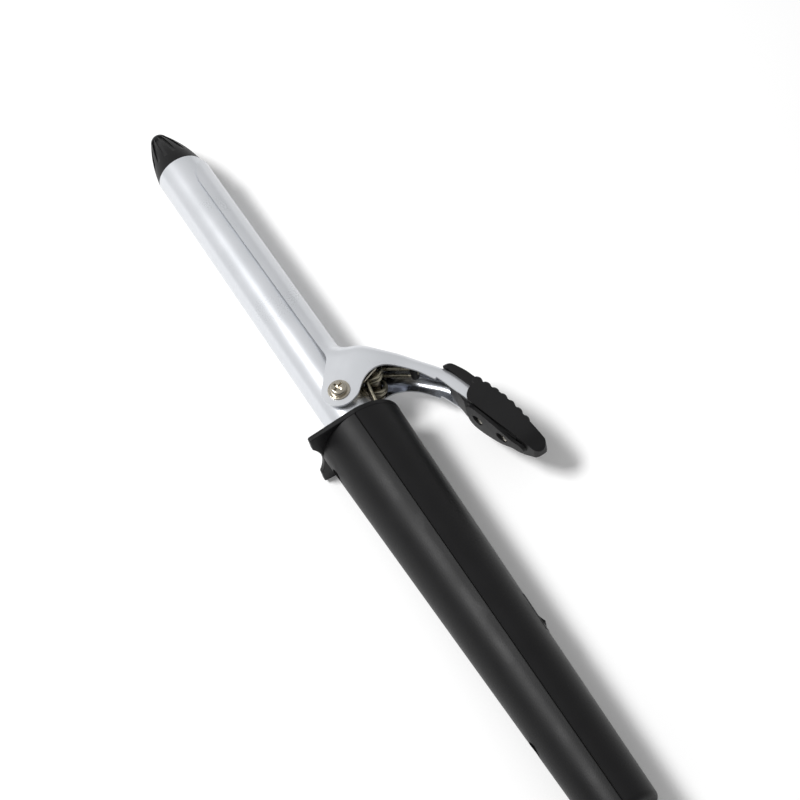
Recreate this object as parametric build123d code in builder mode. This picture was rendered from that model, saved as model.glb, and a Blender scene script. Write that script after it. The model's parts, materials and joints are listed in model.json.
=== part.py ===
from build123d import *
from math import acos, atan2, cos, degrees, pi, radians, sin, sqrt
import os

os.makedirs("parts", exist_ok=True)

# A clamp-type curling iron lying on its side. X runs along the barrel towards the tip, the pivot
# screws point along Z, the thumb lever is on the -Y side and the stand feet are on the +Y side.
# X = 0 is the rear face of the handle. All sizes are in millimetres.

# Handle
handle_length = 168.0
handle_front_radius = 15.9
handle_rear_radius = 11.6
handle_wall = 2.0
handle_rear_wall = 3.0
handle_rear_round = 2.5
seam_gap = 0.1
seam_groove_width = 0.7
seam_groove_depth = 0.4

# Stand flange at the front of the handle
flange_thickness = 2.0
flange_radius = 16.0
flange_edge_round = 0.4
foot_reach = 18.5
foot_half_span = 14.7
foot_inner_span = 8.5
foot_arch_reach = 16.1
foot_round = 0.9
spigot_length = 3.0
spigot_wall = 1.5

# Barrel and its cool tip
barrel_radius = 9.5
barrel_wall = 1.0
barrel_exposed = 139.3
barrel_tucked = 7.2
cap_length = 22.3
cap_nose_radius = 3.6
cap_waist_radius = 7.25
cap_nose_share = 0.8
cap_waist_share = 0.46
cap_spigot_length = 9.0
cap_rim = 2.4
cap_flutes = 14
cap_flute_width = 1.5
cap_flute_depth = 0.55

# Heater sandwich inside the barrel
heater_length = 100.0
heater_width = 11.0
heater_thickness = 2.0
electrode_thickness = 0.4
electrode_inset = 1.0
film_thickness = 0.2
film_overlap = 1.0
spreader_length = 122.0
spreader_gap = 0.1
heater_setback = 14.0
electrode_tail = 22.0

# Insulating seat that carries the barrel in the handle
seat_radius = 10.8
seat_length = 19.0
seat_bore = 4.2
rib_thickness = 2.0

# Pivot of the clamp
pivot_ahead = 11.5
pivot_drop = -0.5
ear_radius = 6.3
ear_outside = 12.15
sheet = 0.8
bracket_thickness = 0.8
bracket_outside = 10.4
bracket_ear_radius = 4.6
bracket_pin_ear = 2.8
bracket_length = 12.0
saddle_edge = 2.0
web_offset = 4.2
web_height = 2.4
web_bite = 0.8
screw_shank = 1.5
screw_head_radius = 2.95
screw_head_height = 1.9
washer_radius = 4.0
washer_thickness = 0.5
running_clearance = 0.05
recess_width = 0.75
recess_depth = 1.1

# Return spring and its pin
wire = 1.5
coil_radius = 3.3
coil_pitch = 2.3
coil_turns = 2
coil_ahead = 15.1
coil_height = 14.7
bridge_half_gap = 2.4
bridge_angle = 53.0
spring_leg = 24.0
leg_tilt = 8.0
leg_clearance = 0.3
pin_radius = 2.0
sleeve_radius = 1.5
sleeve_overhang = 1.0
sleeve_gap = 0.1
sleeve_share = 0.55
sleeve_bore_lead = 6.0

# Clamp blade and lever
blade_gap = 0.25
blade_rise = 0.35
blade_tip_setback = 3.0
blade_edge_tip = 2.65
blade_edge_root = 3.9
blade_corner = 16.0
hood_reach = 28.0
lever_reach = 47.5
lever_end_half_width = 4.8
hood_depth = 34.0
hood_sections = 32
crown_flat = 0.1

ear_front = (13.5, -2.4)
ear_rear_turn = 190.0
lever_edge = [
    (-4.8, -5.0), (-1.9, -8.2), (0.5, -12.1), (0.9, -17.2), (-0.9, -21.1), (-4.0, -24.6),
    (-8.4, -28.1), (-12.9, -30.8), (-22.0, -34.8),
]
lever_edge_slope = 0.3
blade_root = 20.0
tip_overrun = 3.2
trim_margin = 5.0

# Thumb grip, drawn from the pivot along X
grip_half_width = 7.6
grip_tongue_half_width = 7.0
grip_front = -8.8
grip_front_round = 3.0
grip_tip = -56.4
grip_plan = [(-24.5, 1.0), (-36.0, 1.0), (-43.0, 0.91), (-47.0, 0.82), (-51.2, 0.64), (-54.3, 0.38)]
grip_tongue_end = -19.5
plan_depth = 90.0
grip_ridges = 7
grip_ridge_height = 1.05
grip_ridge_round = 1.4
grip_ridge_inset = 0.2
grip_edge_round = 1.4
grip_fit = 0.05
grip_screw_clearance = 0.3
grip_top = [
    (-9.3, -36.6), (-10.1, -38.6), (-13.0, -40.5), (-17.1, -42.3), (-20.1, -43.1),
    (-32.5, -47.2), (-46.1, -49.4), (-53.6, -50.7),
]
grip_tip_arc = [(-53.6, -50.7), (-56.0, -48.6), (-54.8, -45.1)]
grip_skirt_line = [(-54.8, -45.1), (-48.9, -42.8), (-41.7, -40.3), (-33.8, -38.0), (-27.1, -36.2)]
grip_skirt_front = [(-27.1, -36.2), (-24.8, -37.4), (-23.3, -39.2), (-22.8, -40.3)]
plate_groove = 0.3
plate_thickness = 1.2
plate_half_width = 6.9
plate_corner = 4.14
plate_tip_setback = 2.8
plate_outline = [(-36.0, 0.96), (-40.0, 0.83), (-44.0, 0.62), (-48.0, 0.36)]
plate_front_setback = 0.4
tongue_under = [(-26.0, -35.2), (-15.0, -34.9), (-13.9, -36.8), (-13.5, -38.8)]
grip_screw_radius = 1.1
grip_screw_head = 2.0
grip_screw_head_height = 1.2
grip_screw_sunk = 1.7
grip_screw_length = 7.8
grip_screw_places = (-32.2, -42.9)

# Handle screws
handle_screw_front = 156.8
handle_screw_rear = 35.0
handle_screw_head = 2.8
handle_screw_head_height = 1.9
handle_screw_length = 11.0
boss_wall = 1.7
shank_clearance = 0.15
head_clearance = 0.3
fit = 0.02

# Rocker switch
switch_at = 73.6
bezel_length = 14.8
bezel_width = 8.4
bezel_height = 1.7
bezel_proud = 0.15
bezel_cut = 10.0
switch_length = 12.6
switch_width = 6.6
switch_depth = 9.5
rocker_length = 9.8
rocker_width = 5.0
rocker_gap = 0.35
rocker_end_gap = 0.6
rocker_end_height = 2.3
rocker_dish_height = 1.7
rocker_shoulder = 0.4
rocker_heel = 1.8
rocker_well = 6.0
rocker_depth = 2.3
rocker_tilt = 8.0
rocker_pin = 0.9
rocker_pin_clearance = 0.15
terminal_length = 3.0
terminal_root = 2.0
terminal_thickness = 0.8
terminal_width = 3.2
terminal_spacing = 6.4

# Cord swivel at the rear
gland_neck = 5.0
gland_flange = 7.0
gland_flange_thickness = 2.0
gland_tail = 7.0
gland_tail_radius = 6.4
gland_shaft = 4.5
gland_shaft_length = 17.0
gland_bore = 2.6
gland_clearance = 0.3
ring_height = 1.0
ring_width = 3.0
ring_first = 4.0
ring_spacing = 6.0
blade_strip = 0.4
strip_width = 3.0
strip_clearance = 0.3
carrier_thickness = 5.0

# Wiring
lead_radius = 0.9
lead_bend = 8.0
lead_share = 0.35
lead_side_y = 3.0
lead_side_z = 6.5
lead_spread = 1.3
fuse_radius = 2.2
fuse_length = 12.0
fuse_setback = 19.0
fuse_y = -3.0
fuse_z = -4.0

shell_end = handle_length - flange_thickness
barrel_rear = handle_length - barrel_tucked
barrel_end = handle_length + barrel_exposed
barrel_bore = barrel_radius - barrel_wall
pivot_x = handle_length + pivot_ahead
pivot_y = pivot_drop
coil_x = handle_length + coil_ahead
coil_y = -coil_height
tip_inner = barrel_radius + blade_gap
root_inner = tip_inner + blade_rise
lever_end = pivot_x - lever_reach

# Stations along the back of the ears and lever, from the blade to the lever's end: X from the pivot,
# Y, half width of the channel, round of its corners, lean of the cross section
blade_back = root_inner + sheet
stations = [
    (hood_reach, -blade_back, blade_back - 0.05, blade_back - 0.1, 0),
    (23.0, -blade_back - 0.1, 11.0, 10.8, 0),
    (19.0, -11.7, 11.6, 10.0, 22),
    (16.5, -13.9, 12.0, 7.8, 38),
    (14.0, -16.6, ear_outside, 5.7, 43),
    (10.8, -19.6, ear_outside - 0.05, 5.4, 43),
    (7.0, -22.8, 11.5, 5.0, 43),
    (3.4, -26.6, 9.9, 4.7, 42),
    (-0.5, -29.7, 8.7, 4.4, 38),
    (-5.0, -33.1, 8.0, 4.2, 35),
    (-9.4, -36.3, 7.3, 4.0, 30),
    (-22.0, -41.6, 6.4, 3.6, 16),
    (-lever_reach, -46.15, lever_end_half_width, 2.8, 10),
]
lever_end_y = stations[-1][1]


def cross_plane(x):
    # A sketch plane square to the barrel: its x is the object's Y, its y is the object's Z.
    return Plane(origin=(x, 0, 0), x_dir=(0, 1, 0), z_dir=(1, 0, 0))


def handle_radius(x):
    share = x / shell_end
    return handle_rear_radius + (handle_front_radius - handle_rear_radius) * share


def handle_solid(inset):
    # The handle's turned outline, drawn in from its surface by inset.
    with BuildPart() as body:
        with BuildSketch(Plane.XY):
            with BuildLine():
                rear = Polyline(
                    (shell_end, 0),
                    (shell_end, handle_front_radius - inset),
                    (handle_rear_round, handle_radius(handle_rear_round) - inset),
                )
                corner = handle_rear_radius - handle_rear_round
                RadiusArc(rear @ 1, (inset, corner), -(handle_rear_round - inset) * 1.02)
                Polyline((inset, corner), (inset, 0), (shell_end, 0))
            make_face()
        revolve(axis=Axis.X)
    return body.part


def cavity_solid():
    with BuildPart() as body:
        with BuildSketch(Plane.XY):
            with BuildLine():
                Polyline(
                    (shell_end, 0),
                    (shell_end, handle_front_radius - handle_wall),
                    (handle_rear_wall, handle_radius(handle_rear_wall) - handle_wall),
                    (handle_rear_wall, 0),
                    close=True,
                )
            make_face()
        revolve(axis=Axis.X)
    return body.part


handle_outer = handle_solid(0)
handle_core = handle_solid(seam_groove_depth)
handle_cavity = cavity_solid()

with BuildPart() as seam_groove:
    with Locations((shell_end / 2, 0, 0)):
        Box(shell_end + 2, seam_groove_width, 3 * flange_radius)
    add(handle_core, mode=Mode.SUBTRACT)


def coil_point(turn_angle, depth):
    a = radians(turn_angle)
    return Vector(coil_x + coil_radius * sin(a), coil_y + coil_radius * cos(a), depth)


def coil_way(turn_angle, sink):
    a = radians(turn_angle)
    return Vector(cos(a), -sin(a), sink).normalized()


def coil_depth(turn_angle):
    return bridge_half_gap + coil_pitch * (sweep_angle - turn_angle) / 360


def mirrored(point):
    return Vector(point.X, point.Y, -point.Z)


# Where the spring's legs run, and the channels that clear them
sweep_angle = 360 * coil_turns + 180 - bridge_angle
leg_way = coil_way(leg_tilt, 0)
leg_front = coil_point(leg_tilt, coil_depth(leg_tilt))
leg_rear = leg_front - leg_way * spring_leg

with BuildPart() as leg_channels:
    for rear in (leg_rear, mirrored(leg_rear)):
        with BuildSketch(Plane(origin=rear - leg_way * leg_clearance, z_dir=leg_way)):
            Circle(wire / 2 + leg_clearance)
        extrude(amount=spring_leg)


def shell_half(side):
    # One half of the handle: side is -1 towards the lever and +1 towards the feet.
    rib_places = [shell_end - spigot_length - rib_thickness, shell_end - seat_length]
    with BuildPart() as half:
        add(handle_outer)
        add(handle_cavity, mode=Mode.SUBTRACT)
        for rib_x in rib_places:
            with BuildSketch(cross_plane(rib_x)):
                Circle(handle_radius(rib_x) - handle_wall / 2)
                Circle(seat_radius + fit, mode=Mode.SUBTRACT)
            extrude(amount=rib_thickness)
        add(leg_channels.part, mode=Mode.SUBTRACT)
        with BuildSketch(cross_plane(-1)):
            Circle(gland_neck + gland_clearance)
        extrude(amount=handle_rear_wall + 2, mode=Mode.SUBTRACT)
        with Locations((shell_end / 2, -side * (flange_radius + 2 - seam_gap), 0)):
            Box(shell_end + 10, 2 * flange_radius + 4, 3 * flange_radius, mode=Mode.SUBTRACT)
        add(seam_groove.part, mode=Mode.SUBTRACT)
    return half.part


lower_half = shell_half(1)
upper_half = shell_half(-1)
side_plane = Plane(origin=(0, 0, 0), x_dir=(1, 0, 0), z_dir=(0, 1, 0))
front_seat_y = seat_radius + fit + 0.1
front_head_y = front_seat_y + boss_wall
rear_head_y = 6.0
front_boss = handle_screw_head + boss_wall

# Handle half on the feet side, with its two screw wells
with BuildPart() as handle_lower:
    add(lower_half)
    with BuildSketch(side_plane.offset(front_seat_y)):
        with Locations((handle_screw_front, 0)):
            Circle(front_boss)
    extrude(amount=handle_radius(handle_screw_front) - handle_wall / 2 - front_seat_y - 0.8)
    with BuildSketch(side_plane.offset(seam_gap)):
        with Locations((handle_screw_rear, 0)):
            Circle(front_boss)
    extrude(amount=handle_radius(handle_screw_rear) - handle_wall - seam_gap - 0.3)
    with BuildSketch(side_plane.offset(0)):
        with Locations((handle_screw_front, 0), (handle_screw_rear, 0)):
            Circle(screw_shank + shank_clearance)
    extrude(amount=flange_radius + 4, mode=Mode.SUBTRACT)
    with BuildSketch(side_plane.offset(front_head_y)):
        with Locations((handle_screw_front, 0)):
            Circle(handle_screw_head + head_clearance)
    extrude(amount=flange_radius, mode=Mode.SUBTRACT)
    with BuildSketch(side_plane.offset(rear_head_y)):
        with Locations((handle_screw_rear, 0)):
            Circle(handle_screw_head + head_clearance)
    extrude(amount=flange_radius, mode=Mode.SUBTRACT)

handle_lower.part.label = "handle_lower"
export_step(handle_lower.part, "parts/handle_lower.step")

# Handle half on the lever side, with the switch opening and the rear screw's boss
bezel_top = -(handle_radius(switch_at) + bezel_proud)
bezel_floor = bezel_top + bezel_height
rear_boss_depth = rear_head_y - handle_screw_length - 1.0

with BuildPart() as handle_upper:
    add(upper_half)
    with BuildSketch(side_plane.offset(rear_boss_depth)):
        with Locations((handle_screw_rear, 0)):
            Circle(screw_shank + boss_wall)
    extrude(amount=-rear_boss_depth - seam_gap)
    with BuildSketch(side_plane.offset(rear_boss_depth)):
        with Locations((handle_screw_rear, 0)):
            Circle(screw_shank + boss_wall)
    extrude(amount=-(handle_radius(handle_screw_rear) - handle_wall / 2 + rear_boss_depth) + 0.5)
    with BuildSketch(side_plane.offset(rear_boss_depth)):
        with Locations((handle_screw_rear, 0)):
            Circle(screw_shank + fit)
    extrude(amount=-rear_boss_depth, mode=Mode.SUBTRACT)
    with Locations((switch_at, bezel_floor - bezel_cut / 2, 0)):
        Box(bezel_length + 2 * fit, bezel_cut, bezel_width + 2 * fit, mode=Mode.SUBTRACT)
    with Locations((switch_at, bezel_floor, 0)):
        Box(switch_length + 2 * fit, 2 * bezel_cut, switch_width + 2 * fit, mode=Mode.SUBTRACT)

handle_upper.part.label = "handle_upper"
export_step(handle_upper.part, "parts/handle_upper.step")

# Stand flange: a plate with two feet, slipped over the barrel against the handle
spigot_radius = handle_radius(shell_end - spigot_length) - handle_wall - fit
with BuildPart() as stand_flange:
    with BuildSketch(cross_plane(shell_end)):
        with BuildLine():
            ThreePointArc((0, flange_radius), (-flange_radius, 0), (0, -flange_radius))
            Line((0, -flange_radius), (foot_reach, -foot_half_span))
            Line((foot_reach, -foot_half_span), (foot_reach, -foot_inner_span))
            ThreePointArc((foot_reach, -foot_inner_span), (foot_arch_reach, 0), (foot_reach, foot_inner_span))
            Line((foot_reach, foot_inner_span), (foot_reach, foot_half_span))
            Line((foot_reach, foot_half_span), (0, flange_radius))
        make_face()
    extrude(amount=flange_thickness)
    feet_edges = stand_flange.edges().filter_by(Axis.X).group_by(Axis.Y)[-1]
    fillet(feet_edges, foot_round)
    outline = stand_flange.faces().sort_by(Axis.X)[-1].outer_wire().edges()
    back_outline = stand_flange.faces().sort_by(Axis.X)[0].outer_wire().edges()
    fillet(outline + back_outline, flange_edge_round)
    with BuildSketch(cross_plane(shell_end)):
        Circle(spigot_radius)
        Circle(spigot_radius - spigot_wall, mode=Mode.SUBTRACT)
    extrude(amount=-spigot_length + 0.3)
    with BuildSketch(cross_plane(shell_end - spigot_length)):
        Circle(barrel_radius + fit)
    extrude(amount=spigot_length + flange_thickness + 1, mode=Mode.SUBTRACT)
    add(leg_channels.part, mode=Mode.SUBTRACT)

stand_flange.part.label = "stand_flange"
export_step(stand_flange.part, "parts/stand_flange.step")

# Screws that hold the handle: the front one into the barrel seat, the rear one into the other half


def side_screw(x, head_y, length, head_radius, head_height, shank):
    # A cross-recessed pan-head screw driven along -Y.
    with BuildPart() as screw:
        with BuildSketch(side_plane.offset(head_y)):
            with Locations((x, 0)):
                Circle(head_radius)
        extrude(amount=head_height)
        fillet(screw.edges().group_by(Axis.Y)[-1], head_height * 0.45)
        with BuildSketch(side_plane.offset(head_y)):
            with Locations((x, 0)):
                Circle(shank)
        extrude(amount=-length)
        with BuildSketch(side_plane.offset(head_y + head_height)):
            with Locations((x, 0)):
                Rectangle(head_radius * 1.2, head_radius * 0.28)
                Rectangle(head_radius * 0.28, head_radius * 1.2)
        extrude(amount=-head_height * 0.6, mode=Mode.SUBTRACT)
    return screw.part


seat_thread_depth = 6.0
with BuildPart() as handle_screws:
    add(side_screw(
        handle_screw_front, front_head_y, front_head_y - seat_radius + seat_thread_depth,
        handle_screw_head, handle_screw_head_height, screw_shank,
    ))
    add(side_screw(
        handle_screw_rear, rear_head_y, handle_screw_length,
        handle_screw_head, handle_screw_head_height, screw_shank,
    ))

handle_screws.part.label = "handle_screws"
export_step(handle_screws.part, "parts/handle_screws.step")

# Insulating seat: a bakelite plug with the barrel's socket in front and a wire passage behind
with BuildPart() as barrel_seat:
    with BuildSketch(cross_plane(shell_end - seat_length)):
        Circle(seat_radius)
        Circle(seat_bore, mode=Mode.SUBTRACT)
    extrude(amount=seat_length)
    with BuildSketch(cross_plane(barrel_rear)):
        Circle(barrel_radius + fit)
    extrude(amount=barrel_tucked, mode=Mode.SUBTRACT)
    add(leg_channels.part, mode=Mode.SUBTRACT)
    with BuildSketch(side_plane.offset(seat_radius - seat_thread_depth - 0.3)):
        with Locations((handle_screw_front, 0)):
            Circle(screw_shank + fit)
    extrude(amount=seat_thread_depth + 1, mode=Mode.SUBTRACT)

barrel_seat.part.label = "barrel_seat"
export_step(barrel_seat.part, "parts/barrel_seat.step")

# Barrel tube
with BuildPart() as barrel_tube:
    with BuildSketch(cross_plane(barrel_rear)):
        Circle(barrel_radius)
        Circle(barrel_bore, mode=Mode.SUBTRACT)
    extrude(amount=barrel_tucked + barrel_exposed)

barrel_tube.part.label = "barrel_tube"
export_step(barrel_tube.part, "parts/barrel_tube.step")

# Cool tip: a fluted ogive with a spigot in the barrel's mouth
cap_tip = barrel_end + cap_length
nose_x = cap_tip - cap_nose_radius * cap_nose_share
waist_x = barrel_end + cap_length * cap_waist_share

with BuildPart() as cap_flute:
    with BuildSketch(Plane.XY):
        with BuildLine():
            ThreePointArc(
                (barrel_end + cap_rim, barrel_radius + 0.4 - cap_rim * 0.15),
                (waist_x, cap_waist_radius - cap_flute_depth),
                (nose_x - 0.6, cap_nose_radius - cap_flute_depth),
            )
            Polyline(
                (nose_x - 0.6, cap_nose_radius - cap_flute_depth),
                (nose_x + 2, cap_nose_radius + 1),
                (nose_x, barrel_radius + 2),
                (barrel_end + cap_rim, barrel_radius + 2),
                (barrel_end + cap_rim, barrel_radius + 0.4 - cap_rim * 0.15),
            )
        make_face()
    extrude(amount=cap_flute_width / 2, both=True)

with BuildPart() as tip_cap:
    with BuildSketch(Plane.XY):
        with BuildLine():
            Polyline(
                (cap_tip, 0),
                (barrel_end - cap_spigot_length, 0),
                (barrel_end - cap_spigot_length, barrel_bore - fit),
                (barrel_end, barrel_bore - fit),
                (barrel_end, barrel_radius),
            )
            ThreePointArc((barrel_end, barrel_radius), (waist_x, cap_waist_radius), (nose_x, cap_nose_radius))
            TangentArc((cap_tip, 0), (nose_x, cap_nose_radius), tangent=(0, 1))
        make_face()
    revolve(axis=Axis.X)
    for turn in range(cap_flutes):
        add(cap_flute.part, rotation=(360 * turn / cap_flutes, 0, 0), mode=Mode.SUBTRACT)

tip_cap.part.label = "tip_cap"
export_step(tip_cap.part, "parts/tip_cap.step")

# Heater: a ceramic strip between two electrodes and two films, clamped by half-round spreaders
heater_end = barrel_end - cap_spigot_length - heater_setback
heater_mid = heater_end - heater_length / 2
electrode_face = heater_thickness / 2
film_face = electrode_face + electrode_thickness
spreader_face = film_face + film_thickness
spreader_mid = barrel_end - cap_spigot_length - 2 - spreader_length / 2

with BuildPart() as ptc_heater:
    with Locations((heater_mid, 0, 0)):
        Box(heater_length, heater_thickness, heater_width)

ptc_heater.part.label = "ptc_heater"
export_step(ptc_heater.part, "parts/ptc_heater.step")

electrode_length = heater_length + electrode_tail
with BuildPart() as heater_electrodes:
    for side in (-1, 1):
        electrode_y = side * (electrode_face + electrode_thickness / 2)
        with Locations((heater_end - electrode_length / 2, electrode_y, 0)):
            Box(electrode_length, electrode_thickness, heater_width - 2 * electrode_inset)

heater_electrodes.part.label = "heater_electrodes"
export_step(heater_electrodes.part, "parts/heater_electrodes.step")

with BuildPart() as insulating_films:
    for side in (-1, 1):
        with Locations((spreader_mid, side * (film_face + film_thickness / 2), 0)):
            Box(spreader_length, film_thickness, heater_width + 2 * film_overlap)

insulating_films.part.label = "insulating_films"
export_step(insulating_films.part, "parts/insulating_films.step")


def spreader(side):
    with BuildPart() as block:
        with BuildSketch(cross_plane(spreader_mid - spreader_length / 2)):
            Circle(barrel_bore - spreader_gap)
            with Locations((-side * (barrel_radius - spreader_face), 0)):
                Rectangle(2 * barrel_radius, 2 * barrel_radius, mode=Mode.SUBTRACT)
        extrude(amount=spreader_length)
    return block.part


with BuildPart() as spreader_upper:
    add(spreader(-1))

spreader_upper.part.label = "spreader_upper"
export_step(spreader_upper.part, "parts/spreader_upper.step")

with BuildPart() as spreader_lower:
    add(spreader(1))

spreader_lower.part.label = "spreader_lower"
export_step(spreader_lower.part, "parts/spreader_lower.step")

# Hinge bracket: a saddle on the barrel with two side plates for the pivot screws and spring pin
bracket_inside = bracket_outside - bracket_thickness
bracket_rear = pivot_x - bracket_ear_radius
with BuildPart() as hinge_bracket:
    with BuildSketch(cross_plane(bracket_rear)):
        Circle(barrel_radius + bracket_thickness)
        Circle(barrel_radius, mode=Mode.SUBTRACT)
        with Locations((barrel_radius - saddle_edge, 0)):
            Rectangle(2 * barrel_radius, 3 * barrel_radius, mode=Mode.SUBTRACT)
    extrude(amount=bracket_length)
    for side in (-1, 1):
        with BuildSketch(Plane.XY.offset(side * (bracket_inside + bracket_thickness / 2))):
            with BuildLine():
                Line((pivot_x + bracket_ear_radius, pivot_y), (coil_x + bracket_pin_ear, coil_y))
                ThreePointArc(
                    (coil_x + bracket_pin_ear, coil_y),
                    (coil_x, coil_y - bracket_pin_ear),
                    (coil_x - bracket_pin_ear, coil_y),
                )
                Line((coil_x - bracket_pin_ear, coil_y), (pivot_x - bracket_ear_radius, pivot_y))
                ThreePointArc(
                    (pivot_x - bracket_ear_radius, pivot_y),
                    (pivot_x, pivot_y + bracket_ear_radius),
                    (pivot_x + bracket_ear_radius, pivot_y),
                )
            make_face()
        extrude(amount=bracket_thickness / 2, both=True)
        with BuildSketch(cross_plane(bracket_rear)):
            with Locations((-web_offset, side * (barrel_radius + bracket_inside) / 2)):
                Rectangle(web_height, bracket_inside - barrel_radius + 2 * web_bite)
            Circle(barrel_radius, mode=Mode.SUBTRACT)
        extrude(amount=bracket_length)
    with BuildSketch(Plane.XY):
        with Locations((pivot_x, pivot_y)):
            Circle(screw_shank + fit)
        with Locations((coil_x, coil_y)):
            Circle(pin_radius + fit)
    extrude(amount=2 * bracket_outside, both=True, mode=Mode.SUBTRACT)

hinge_bracket.part.label = "hinge_bracket"
export_step(hinge_bracket.part, "parts/hinge_bracket.step")

# Pivot screws and washers, one pair on each side
head_face = ear_outside + running_clearance + washer_thickness

with BuildPart() as near_pivot_screw:
    with BuildSketch(Plane.XY.offset(head_face)):
        with Locations((pivot_x, pivot_y)):
            Circle(screw_head_radius)
    extrude(amount=screw_head_height)
    fillet(near_pivot_screw.edges().group_by(Axis.Z)[-1], screw_head_height * 0.55)
    with BuildSketch(Plane.XY.offset(head_face)):
        with Locations((pivot_x, pivot_y)):
            Circle(screw_shank)
    extrude(amount=-(head_face - bracket_inside))
    with BuildSketch(Plane.XY.offset(head_face + screw_head_height)):
        with Locations(Location((pivot_x, pivot_y), 20)):
            Rectangle(2 * screw_head_radius * 0.62, recess_width)
            Rectangle(recess_width, 2 * screw_head_radius * 0.62)
    extrude(amount=-recess_depth, mode=Mode.SUBTRACT)

with BuildPart() as pivot_screws:
    add(near_pivot_screw.part)
    mirror(near_pivot_screw.part, about=Plane.XY)

pivot_screws.part.label = "pivot_screws"
export_step(pivot_screws.part, "parts/pivot_screws.step")

with BuildPart() as near_washer:
    with BuildSketch(Plane.XY.offset(ear_outside + running_clearance)):
        with Locations((pivot_x, pivot_y)):
            Circle(washer_radius)
            Circle(screw_shank + fit, mode=Mode.SUBTRACT)
    extrude(amount=washer_thickness)
    fillet(near_washer.edges().group_by(Axis.Z)[-1].sort_by(SortBy.LENGTH)[-1], washer_thickness * 0.6)

with BuildPart() as pivot_washers:
    add(near_washer.part)
    mirror(near_washer.part, about=Plane.XY)

pivot_washers.part.label = "pivot_washers"
export_step(pivot_washers.part, "parts/pivot_washers.step")

# Pin through the two spring coils
with BuildPart() as spring_pin:
    with BuildSketch(Plane.XY):
        with Locations((coil_x, coil_y)):
            Circle(pin_radius)
    extrude(amount=bracket_outside, both=True)

spring_pin.part.label = "spring_pin"
export_step(spring_pin.part, "parts/spring_pin.step")

# Double torsion spring: a leg into the handle, a coil, a bridge under the lever, and back again


def arc_pair(start, start_way, end, end_way):
    # Two tangent arcs that leave start along start_way and reach end along end_way.
    chord = end - start
    ways = start_way + end_way
    bend = 2 * (1 - start_way.dot(end_way))
    reach = (-chord.dot(ways) + sqrt(chord.dot(ways) ** 2 + bend * chord.dot(chord))) / bend
    first_knee = start + start_way * reach
    second_knee = end - end_way * reach
    middle = (first_knee + second_knee) * 0.5
    middle_way = (second_knee - first_knee).normalized()
    TangentArc(start, middle, tangent=start_way)
    TangentArc(middle, end, tangent=middle_way)


quarter_count = round((sweep_angle - leg_tilt) / 90)
quarter = (sweep_angle - leg_tilt) / quarter_count
bridge_way = coil_way(sweep_angle, 0)
slope = -coil_pitch / (2 * pi * coil_radius)
bridge_start = coil_point(sweep_angle, bridge_half_gap)

# The bridge reaches until the sleeve on its end bears on the inside of the lever
with BuildLine() as crown_line:
    Spline([Vector(pivot_x + station[0], station[1]) for station in stations])

sleeve_distance = sheet + sleeve_radius + sleeve_gap
nearest = 0.0
farthest = 2 * coil_height
for attempt in range(30):
    reach = (nearest + farthest) / 2
    sleeve_mid = bridge_start + bridge_way * reach
    gap = crown_line.edge().distance_to(Vector(sleeve_mid.X, sleeve_mid.Y, 0))
    if gap > sleeve_distance:
        nearest = reach
    else:
        farthest = reach
bridge_end = sleeve_mid - bridge_way * bridge_half_gap * sleeve_share

with BuildLine() as spring_path:
    Line(leg_rear, leg_front)
    for step in range(quarter_count):
        from_angle = leg_tilt + quarter * step
        to_angle = from_angle + quarter
        from_way = coil_way(from_angle, 0 if step == 0 else slope)
        to_way = coil_way(to_angle, 0 if step == quarter_count - 1 else slope)
        arc_pair(
            coil_point(from_angle, coil_depth(from_angle)), from_way,
            coil_point(to_angle, coil_depth(to_angle)), to_way,
        )
    Line(bridge_start, bridge_end)
    ThreePointArc(bridge_end, bridge_end + bridge_way * bridge_half_gap - Vector(0, 0, bridge_half_gap),
                  mirrored(bridge_end))
    Line(mirrored(bridge_end), mirrored(bridge_start))
    for step in range(quarter_count - 1, -1, -1):
        to_angle = leg_tilt + quarter * step
        from_angle = to_angle + quarter
        from_way = coil_way(from_angle, 0 if step == quarter_count - 1 else -slope) * -1
        to_way = coil_way(to_angle, 0 if step == 0 else -slope) * -1
        arc_pair(
            coil_point(from_angle, -coil_depth(from_angle)), from_way,
            coil_point(to_angle, -coil_depth(to_angle)), to_way,
        )
    Line(mirrored(leg_front), mirrored(leg_rear))

spring_wire = spring_path.wire()
with BuildPart() as torsion_spring:
    with BuildSketch(Plane(origin=spring_wire @ 0, z_dir=spring_wire % 0)):
        Circle(wire / 2)
    sweep(path=spring_wire)

torsion_spring.part.label = "torsion_spring"
export_step(torsion_spring.part, "parts/torsion_spring.step")


def least_self_gap(path, count, skip):
    points = [path @ (i / count) for i in range(count + 1)]
    least = path.length
    for i in range(count + 1):
        for j in range(i + skip, count + 1):
            least = min(least, (points[i] - points[j]).length)
    return least - wire


gap_samples = 900
gap_skip = round(gap_samples * 3.0 * wire / spring_wire.length)
print("spring least gap to itself", round(least_self_gap(spring_wire, gap_samples, gap_skip), 2), "mm")
spring_volume = pi * (wire / 2) ** 2 * spring_wire.length
print("spring volume", round(torsion_spring.part.volume, 1), "of", round(spring_volume, 1), "mm3")

# Soft sleeve over the end of the spring's bridge, where it bears on the lever
with BuildPart() as bridge_channel:
    with BuildLine() as bridge_line:
        Line(bridge_end - bridge_way * sleeve_bore_lead, bridge_end)
        ThreePointArc(bridge_end, bridge_end + bridge_way * bridge_half_gap - Vector(0, 0, bridge_half_gap),
                      mirrored(bridge_end))
        Line(mirrored(bridge_end), mirrored(bridge_end) - bridge_way * sleeve_bore_lead)
    with BuildSketch(Plane(origin=bridge_line.wire() @ 0, z_dir=bridge_way)):
        Circle(wire / 2 + fit)
    sweep(path=bridge_line.wire())

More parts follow.
